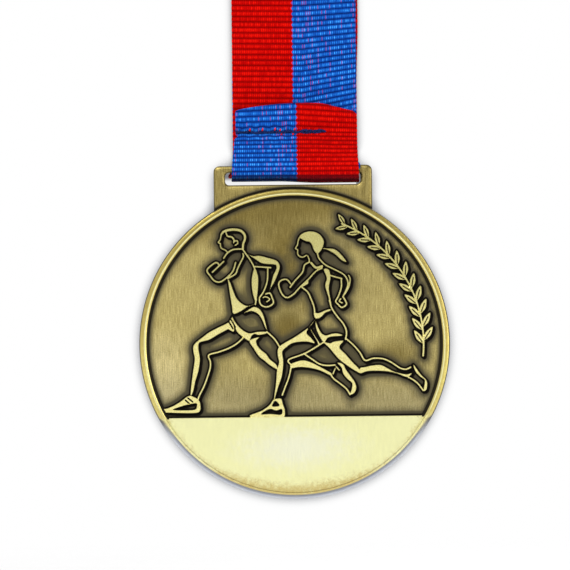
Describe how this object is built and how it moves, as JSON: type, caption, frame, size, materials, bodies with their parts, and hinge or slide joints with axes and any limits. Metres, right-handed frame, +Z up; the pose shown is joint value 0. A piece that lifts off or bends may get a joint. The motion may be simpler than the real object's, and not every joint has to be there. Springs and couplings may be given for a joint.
{
  "type": "sports finisher medal",
  "caption": "Round cast medal with raised runners, a beaded rim and a slotted tab, hung on a sewn two-tone neck ribbon; the medal swings on its ribbon.",
  "frame": {"origin": "centre of the flat field on the medal's back, with the medal hanging at rest", "axes": "+Z up along the ribbon, +Y out of the medal's back, +X to the right as seen from the front"},
  "size_m": [0.1704, 0.1537, 0.3664],
  "materials": {
    "antique_brass": "antique brass plating: dark patina in the recesses, brushed field, polished rim and panel",
    "ribbon_weave": "ribbed polyester ribbon, one half red and one half blue, with a slight sheen",
    "navy_thread": "navy polyester thread",
    "red_thread": "red polyester thread"
  },
  "bodies": {
    "neck_loop": {"ribbon_neck_loop": "ribbon_weave"},
    "straps": {"ribbon_front_strap": "ribbon_weave", "ribbon_rear_strap": "ribbon_weave"},
    "sewn_end": {"ribbon_inner_end": "ribbon_weave", "ribbon_outer_end": "ribbon_weave", "needle_thread": "navy_thread", "bobbin_thread": "red_thread"},
    "medal": {"medal_casting": "antique_brass"}
  },
  "joints": [
    {"name": "ribbon_twist", "type": "hinge", "parent": "neck_loop", "child": "straps", "pos_m": [0.0005, -0.00045, 0.07], "axis": [0, 0, 1], "range_deg": [-90, 90]},
    {"name": "ribbon_flex", "type": "hinge", "parent": "straps", "child": "sewn_end", "pos_m": [0.0005, -0.00045, 0.049], "axis": [1, 0, 0], "range_deg": [-45, 45]},
    {"name": "medal_swing", "type": "hinge", "parent": "sewn_end", "child": "medal", "pos_m": [0, -0.0011, 0.03383], "axis": [1, 0, 0], "range_deg": [-100, 100]}
  ]
}
